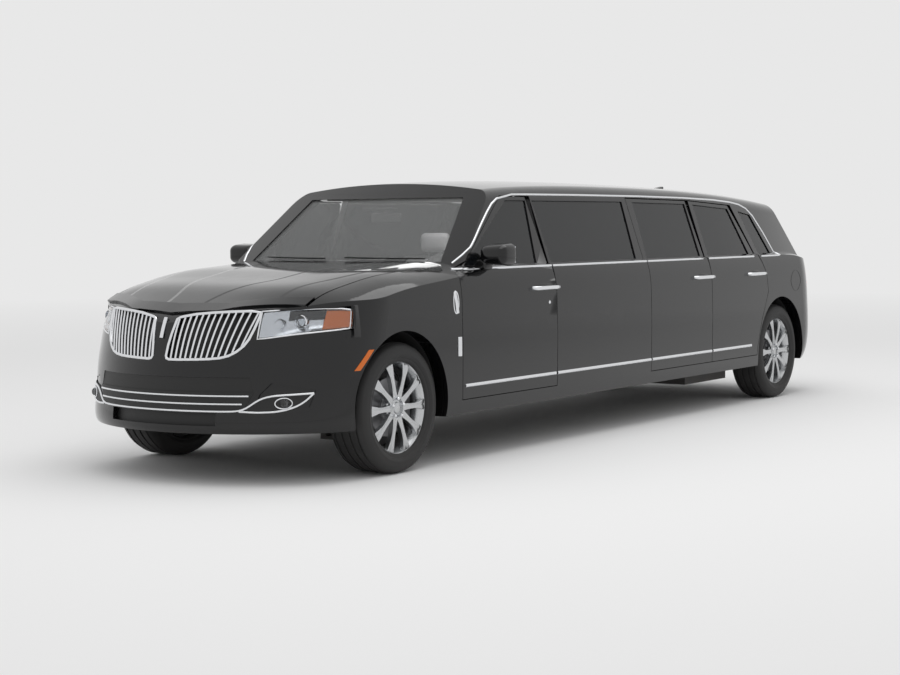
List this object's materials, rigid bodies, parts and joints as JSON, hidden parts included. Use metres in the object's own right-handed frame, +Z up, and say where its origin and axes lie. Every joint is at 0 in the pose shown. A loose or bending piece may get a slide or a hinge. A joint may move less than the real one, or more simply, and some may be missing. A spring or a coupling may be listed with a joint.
{
  "type": "stretch limousine",
  "caption": "Long black six-door limousine with a waterfall grille, hinged doors, hood and tailgate, steered front wheels and a hollow cabin.",
  "frame": {"origin": "on the floor under the middle of the overall box", "axes": "+X forward, +Y to the car's left, +Z up"},
  "size_m": [7.1514, 2.24, 1.7017],
  "materials": {
    "paint": "gloss black clear coat",
    "glass": "tinted",
    "lamp_glass": "clear lens",
    "red_lens": "clear red lens",
    "chrome": "polished",
    "alloy": "painted silver",
    "tyre": "ribbed rubber",
    "chassis": "satin black",
    "cast_metal": "cast",
    "exhaust_steel": "dull",
    "plastic": "grained",
    "trim": "soft grained",
    "leather": "stitched"
  },
  "bodies": {
    "body": {"body_frame": "paint", "dashboard": "trim", "engine_block": "cast_metal", "exhaust": "exhaust_steel", "fixed_glass": "glass", "front_bumper": "paint", "front_fenders": "paint", "front_seats": "leather", "front_suspension": "chassis", "fuel_tank": "plastic", "grille": "chrome", "headlamps": "lamp_glass", "lounge_cabinets": "trim", "lounge_seats": "leather", "quarter_panels": "paint", "rear_bumper": "paint", "rear_suspension": "chassis", "roof_panel": "paint", "steering_wheel": "trim", "tail_lamps": "red_lens", "underbody": "chassis", "wheelhouses": "plastic"},
    "front_door_left": {"front_door_left": "paint", "front_glass_left": "glass"},
    "front_door_right": {"front_door_right": "paint", "front_glass_right": "glass"},
    "middle_door_left": {"middle_door_left": "paint", "middle_glass_left": "glass"},
    "middle_door_right": {"middle_door_right": "paint", "middle_glass_right": "glass"},
    "rear_door_left": {"rear_door_left": "paint", "rear_glass_left": "glass"},
    "rear_door_right": {"rear_door_right": "paint", "rear_glass_right": "glass"},
    "hood": {"hood": "paint"},
    "tailgate": {"tailgate": "paint", "tailgate_glass": "glass"},
    "knuckle_left": {"knuckle_left": "chassis"},
    "knuckle_right": {"knuckle_right": "chassis"},
    "front_wheel_left": {"front_tyre_left": "tyre", "front_wheel_left": "alloy"},
    "front_wheel_right": {"front_tyre_right": "tyre", "front_wheel_right": "alloy"},
    "rear_wheel_left": {"rear_tyre_left": "tyre", "rear_wheel_left": "alloy"},
    "rear_wheel_right": {"rear_tyre_right": "tyre", "rear_wheel_right": "alloy"}
  },
  "joints": [
    {"name": "front_door_left_hinge", "type": "hinge", "parent": "body", "child": "front_door_left", "pos_m": [1.953, 0.965, 0.75], "axis": [0, 0, -1], "range_deg": [0, 65]},
    {"name": "front_door_right_hinge", "type": "hinge", "parent": "body", "child": "front_door_right", "pos_m": [1.953, -0.965, 0.75], "axis": [0, 0, 1], "range_deg": [0, 65]},
    {"name": "middle_door_left_hinge", "type": "hinge", "parent": "body", "child": "middle_door_left", "pos_m": [-0.42, 0.965, 0.75], "axis": [0, 0, -1], "range_deg": [0, 65]},
    {"name": "middle_door_right_hinge", "type": "hinge", "parent": "body", "child": "middle_door_right", "pos_m": [-0.42, -0.965, 0.75], "axis": [0, 0, 1], "range_deg": [0, 65]},
    {"name": "rear_door_left_hinge", "type": "hinge", "parent": "body", "child": "rear_door_left", "pos_m": [-1.385, 0.965, 0.75], "axis": [0, 0, -1], "range_deg": [0, 65]},
    {"name": "rear_door_right_hinge", "type": "hinge", "parent": "body", "child": "rear_door_right", "pos_m": [-1.385, -0.965, 0.75], "axis": [0, 0, 1], "range_deg": [0, 65]},
    {"name": "hood_hinge", "type": "hinge", "parent": "body", "child": "hood", "pos_m": [1.965, 0, 1.187], "axis": [0, -1, 0], "range_deg": [0, 45]},
    {"name": "tailgate_hinge", "type": "hinge", "parent": "body", "child": "tailgate", "pos_m": [-2.96, 0, 1.637], "axis": [0, 1, 0], "range_deg": [0, 75]},
    {"name": "steering_left", "type": "hinge", "parent": "body", "child": "knuckle_left", "pos_m": [2.563, 0.745, 0.373], "axis": [0, 0, 1], "range_deg": [-33, 33]},
    {"name": "steering_right", "type": "hinge", "parent": "body", "child": "knuckle_right", "pos_m": [2.563, -0.745, 0.373], "axis": [0, 0, 1], "range_deg": [-33, 33]},
    {"name": "front_wheel_left_spin", "type": "hinge", "parent": "knuckle_left", "child": "front_wheel_left", "pos_m": [2.563, 0.809, 0.373], "axis": [0, 1, 0], "continuous": true},
    {"name": "front_wheel_right_spin", "type": "hinge", "parent": "knuckle_right", "child": "front_wheel_right", "pos_m": [2.563, -0.809, 0.373], "axis": [0, 1, 0], "continuous": true},
    {"name": "rear_wheel_left_spin", "type": "hinge", "parent": "body", "child": "rear_wheel_left", "pos_m": [-2.613, 0.809, 0.373], "axis": [0, 1, 0], "continuous": true},
    {"name": "rear_wheel_right_spin", "type": "hinge", "parent": "body", "child": "rear_wheel_right", "pos_m": [-2.613, -0.809, 0.373], "axis": [0, 1, 0], "continuous": true}
  ],
  "couplings": [
    {"joint": "steering_right", "follows": "steering_left", "ratio": 1}
  ]
}
